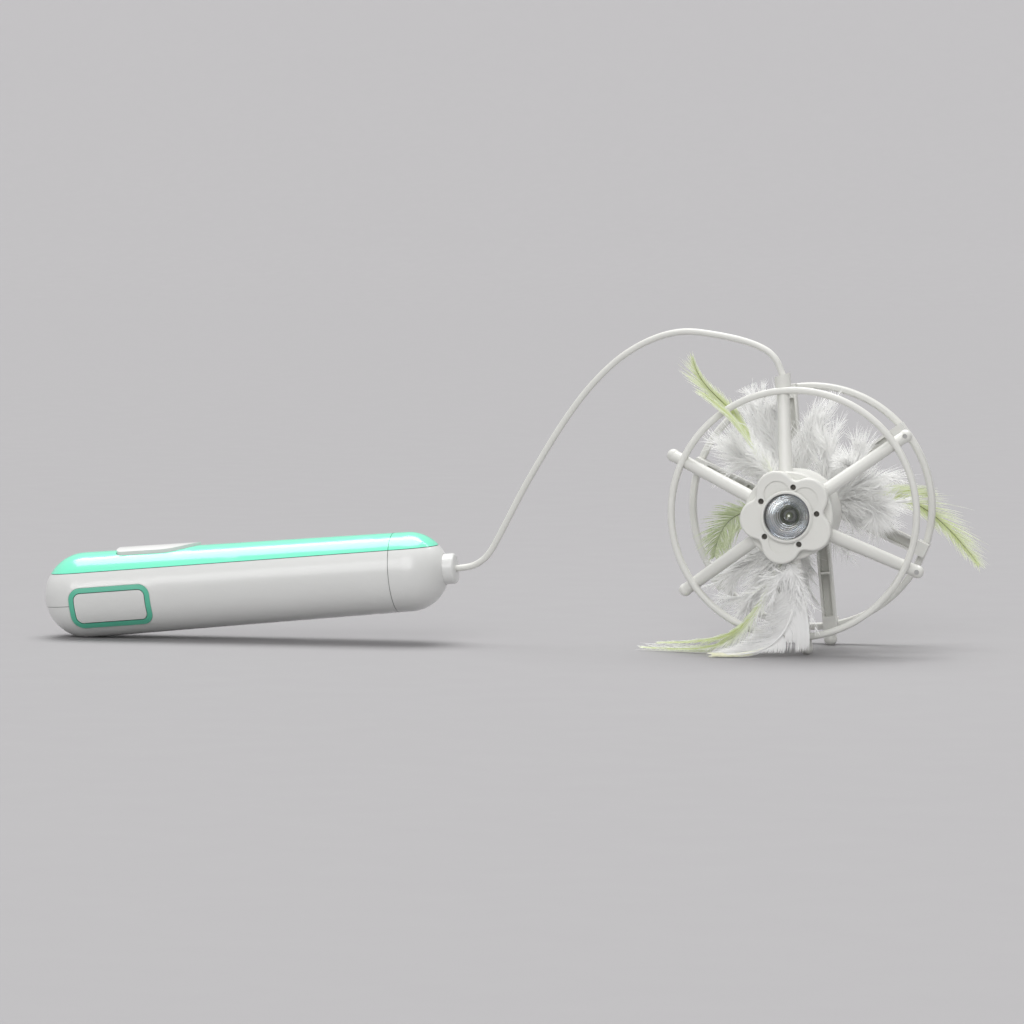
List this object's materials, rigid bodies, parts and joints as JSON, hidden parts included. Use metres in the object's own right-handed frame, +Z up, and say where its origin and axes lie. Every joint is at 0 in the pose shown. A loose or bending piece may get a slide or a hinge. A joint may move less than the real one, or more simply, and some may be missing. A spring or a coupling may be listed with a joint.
{
  "type": "cat teaser wand",
  "caption": "Battery cat teaser wand: capsule handle with two buttons, stiff cable, and a guarded wheel with a lamp and a motor-driven feather rotor.",
  "frame": {"origin": "middle of the underside of the whole object's box, on the surface that it stands on", "axes": "+X from the handle's tail to the cage, -Y towards the lamp side, +Z up"},
  "size_m": [0.381, 0.0804, 0.1287],
  "materials": {
    "white_plastic": "gloss",
    "mint_plastic": "gloss",
    "bezel_plastic": "gloss",
    "cable_jacket": "satin",
    "clear_lens": "polished",
    "reflector": "polished",
    "light_chip": "matt",
    "board": "satin",
    "switch": "satin",
    "gear_plastic": "satin",
    "steel": "bright",
    "cell_can": "satin",
    "feather_white": "soft",
    "feather_green": "soft",
    "feather_olive": "soft",
    "feather_cream": "soft"
  },
  "bodies": {
    "root": {"handle_lower_shell": "white_plastic", "top_cover": "mint_plastic", "front_cap": "white_plastic", "front_cap_trim": "mint_plastic", "cable_gland": "white_plastic", "gland_nut": "white_plastic", "button_bezel": "bezel_plastic", "battery_cell": "cell_can", "battery_contacts": "steel", "circuit_board": "board", "thumb_switch": "switch", "side_switch": "switch", "side_switch_board": "board", "shell_screws": "steel", "front_spider": "white_plastic", "front_ring": "white_plastic", "arm_pins": "steel", "cable_ferrule": "white_plastic", "rear_spider": "white_plastic", "rear_ring": "white_plastic", "flower_cap": "white_plastic", "cap_screws": "steel", "lens_bezel": "white_plastic", "lamp_lens": "clear_lens", "lamp_reflector": "reflector", "lamp_board": "board", "led_chip": "light_chip", "drum_housing": "white_plastic", "motor_plate": "gear_plastic", "drive_motor": "steel", "axle": "steel", "axle_nut": "white_plastic", "thrust_washers": "gear_plastic", "upper_hackle": "feather_green", "side_hackle": "feather_green", "lower_hackle": "feather_green", "lower_plume": "feather_white", "cream_hackle": "feather_cream", "wand_cable": "cable_jacket"},
    "rotor": {"rotor_hub": "white_plastic", "rotor_gear": "gear_plastic", "front_bush": "gear_plastic", "rear_bush": "gear_plastic", "feather_clamps": "gear_plastic", "upper_marabou": "feather_white", "side_marabou": "feather_white", "lower_marabou": "feather_white", "olive_hackle": "feather_olive"},
    "pinion": {"motor_pinion": "gear_plastic"},
    "thumb_button": {"thumb_pad": "white_plastic"},
    "side_panel_button": {"side_button": "white_plastic"}
  },
  "joints": [
    {"name": "rotor_spin", "type": "hinge", "parent": "root", "child": "rotor", "pos_m": [0.12341, 0.00624, 0.0558], "axis": [0, 1, 0], "continuous": true},
    {"name": "pinion_spin", "type": "hinge", "parent": "root", "child": "pinion", "pos_m": [0.11997, 0.00624, 0.04636], "axis": [0, 1, 0], "continuous": true},
    {"name": "thumb_press", "type": "slide", "parent": "root", "child": "thumb_button", "axis": [0.0854, 0, -0.9963], "range_m": [0, 0.0008], "stiffness_N_per_m": 800},
    {"name": "side_press", "type": "slide", "parent": "root", "child": "side_panel_button", "axis": [0, 1, 0], "range_m": [0, 0.0008], "stiffness_N_per_m": 800}
  ],
  "couplings": [
    {"joint": "pinion_spin", "follows": "rotor_spin", "ratio": -3}
  ]
}
